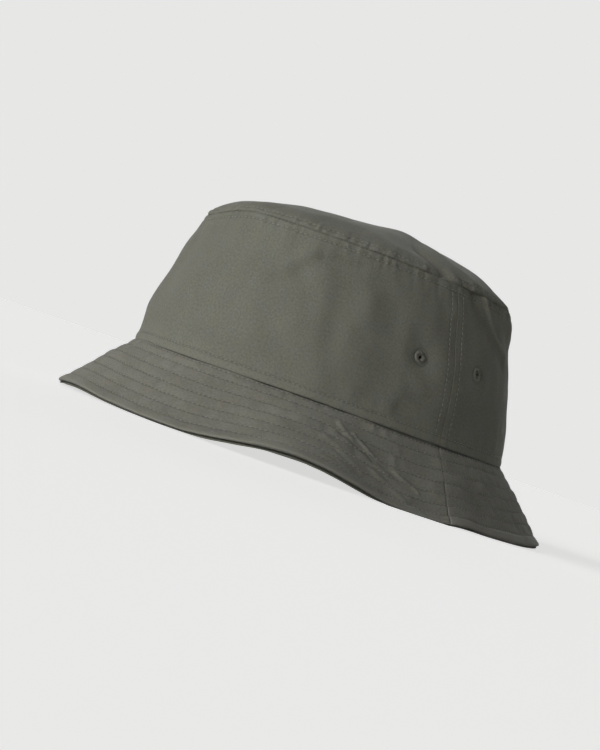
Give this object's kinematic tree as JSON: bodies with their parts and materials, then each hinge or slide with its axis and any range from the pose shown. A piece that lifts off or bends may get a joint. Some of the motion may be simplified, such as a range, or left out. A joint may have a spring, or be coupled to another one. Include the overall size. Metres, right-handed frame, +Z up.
{
  "type": "bucket hat",
  "caption": "Cotton twill bucket hat with a domed oval tip, two crown panels, thread-bound eyelets, a stitched sloping brim and a lined sweatband.",
  "frame": {"origin": "centre of the brim's outline, on the surface that the brim rests on", "axes": "+Z up through the crown, front of the hat towards -Y, the wearer's left towards +X"},
  "size_m": [0.2432, 0.2742, 0.13],
  "materials": {
    "twill": "matte cotton twill",
    "twill_inside": "matte cotton twill",
    "thread": "spun thread",
    "interlining": "felted",
    "label": "woven satin"
  },
  "bodies": {
    "hat": {"tip_panel": "twill", "crown_front": "twill", "crown_back": "twill", "brim_upper_front": "twill", "brim_upper_back": "twill", "brim_interlining_front": "interlining", "brim_interlining_back": "interlining", "brim_under_front": "twill_inside", "brim_under_back": "twill_inside", "sweatband_cover": "twill_inside", "sweatband_core": "interlining", "tip_seam_tape": "twill_inside", "side_seam_tape_left": "twill_inside", "side_seam_tape_right": "twill_inside", "eyelet_left_front": "thread", "eyelet_left_back": "thread", "eyelet_right_front": "thread", "eyelet_right_back": "thread", "tip_stitch_upper": "thread", "tip_stitch_lower": "thread", "side_stitch_left": "thread", "side_stitch_right": "thread", "head_seam_stitch": "thread", "brim_stitch_0": "thread", "brim_stitch_1": "thread", "brim_stitch_2": "thread", "brim_stitch_3": "thread", "brim_stitch_4": "thread", "brim_stitch_5": "thread", "brim_stitch_6": "thread", "sweatband_stitch": "thread", "size_label": "label"},
    "care_label": {"care_label": "label"}
  },
  "joints": [
    {"name": "care_label_flip", "type": "hinge", "parent": "hat", "child": "care_label", "pos_m": [0, 0.08183, 0.10549], "axis": [-1, 0, 0], "range_deg": [-15, 80]}
  ]
}
